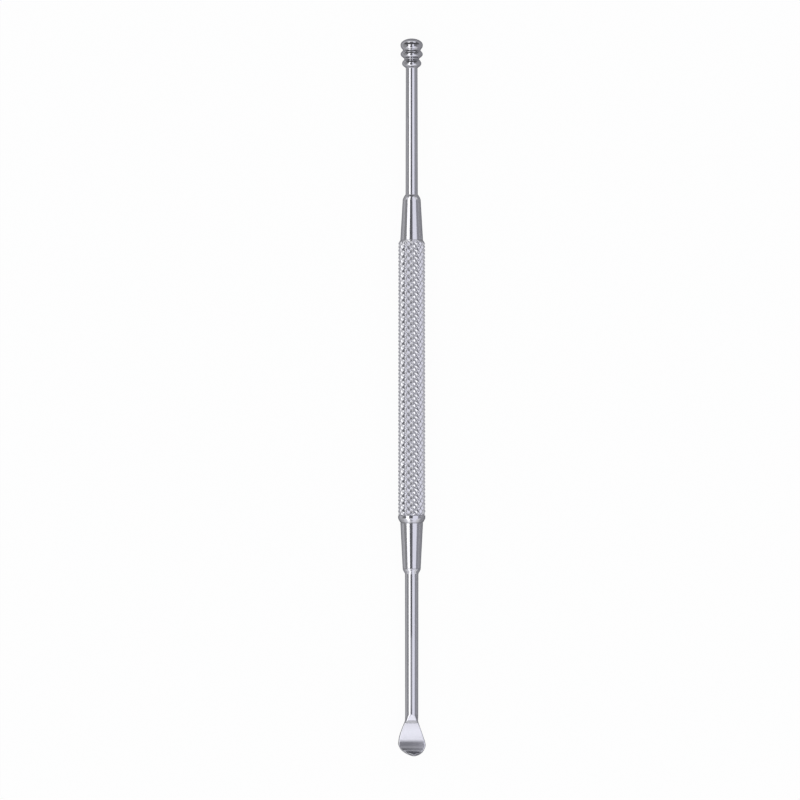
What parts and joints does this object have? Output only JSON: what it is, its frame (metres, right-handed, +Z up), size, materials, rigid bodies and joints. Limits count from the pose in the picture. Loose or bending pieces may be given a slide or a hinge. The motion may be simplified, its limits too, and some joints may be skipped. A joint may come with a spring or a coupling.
{
  "type": "ear pick",
  "caption": "Double-ended steel ear pick with a diamond-knurled grip, tapered collars, a ringed head on one slim shaft and a curled scoop on the other.",
  "frame": {"origin": "on the surface that the tool lies on, under the middle of its whole length and width", "axes": "+Y runs along the tool towards the ringed head, +X is across it, and +Z is up, where the hollow of the scoop faces. The tool's axis is 2.5 mm above the origin"},
  "size_m": [0.005, 0.13, 0.005],
  "materials": {
    "knurled_steel": "knurled stainless steel, bright crests and darker grooves",
    "turned_steel": "turned stainless steel with fine rings round the axis",
    "polished_steel": "polished stainless steel with faint hairlines"
  },
  "bodies": {
    "root": {"knurled_grip": "knurled_steel", "ring_collar": "turned_steel", "scoop_collar": "turned_steel", "ring_tip": "polished_steel", "scoop_tip": "polished_steel"}
  },
  "joints": []
}
